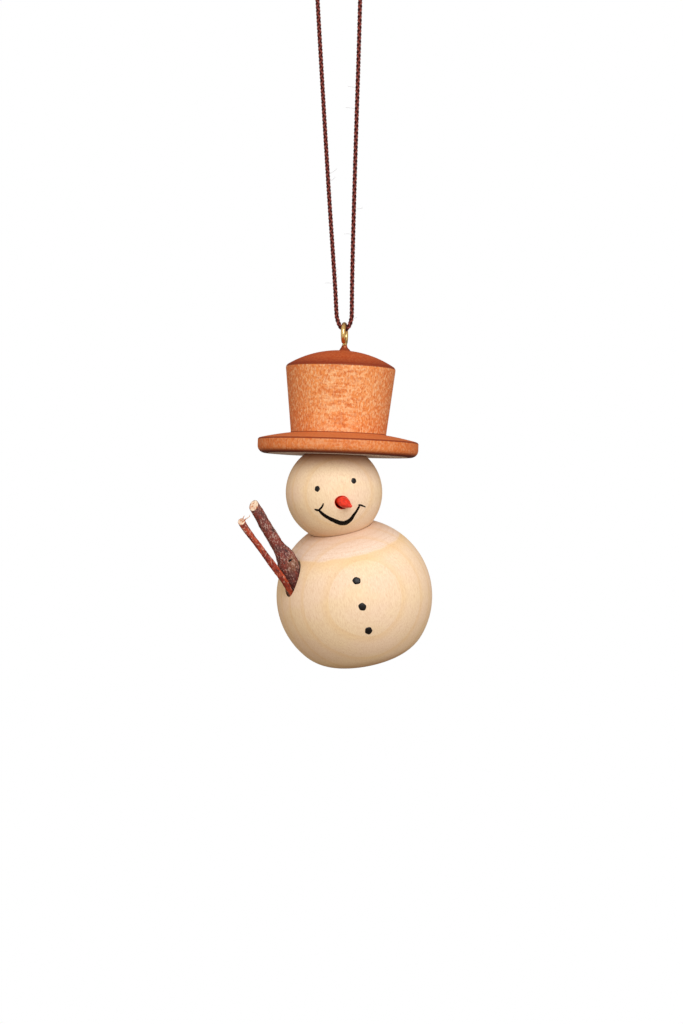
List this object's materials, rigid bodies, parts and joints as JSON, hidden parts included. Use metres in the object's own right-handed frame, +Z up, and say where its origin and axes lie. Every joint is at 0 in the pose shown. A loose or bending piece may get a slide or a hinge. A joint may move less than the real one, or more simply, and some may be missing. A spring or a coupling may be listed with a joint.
{
  "type": "hanging snowman ornament",
  "caption": "Wooden snowman tree ornament with a top hat, peg nose and twig broom in its side, hung by a screw eye on a loop of braided cord.",
  "frame": {"origin": "hanging point: the top of the space inside the cord loop, where the loop lies over a branch or hook", "axes": "+Z up as the ornament hangs, +X to the right of a viewer in front of it, -Y out of the face"},
  "size_m": [0.0368, 0.0331, 0.1473],
  "materials": {
    "pale_wood": "fine-sanded pale maple or linden under a thin clear matt varnish",
    "stained_wood": "orange-brown stain on open side grain, darker on the end grain, satin",
    "red_paint": "glossy red lacquer on wood",
    "bark": "natural purple-brown bark with grey lichen flecks, matt",
    "red_bark": "natural red-brown bark with pale specks, matt",
    "brass": "bright drawn brass wire",
    "brown_cord": "dark red-brown braided cotton cord"
  },
  "bodies": {
    "cord_loop": {"hanging_cord": "brown_cord", "cord_knot": "brown_cord"},
    "figure": {"body": "pale_wood", "head": "pale_wood", "hat": "stained_wood", "nose": "red_paint", "thick_twig": "bark", "thin_twig": "red_bark", "screw_eye": "brass", "neck_dowel": "pale_wood", "hat_dowel": "pale_wood"}
  },
  "joints": [
    {"name": "figure_swing", "type": "hinge", "parent": "cord_loop", "child": "figure", "pos_m": [0.0012, 0, -0.074], "axis": [1, 0, 0], "range_deg": [-120, 120]}
  ]
}
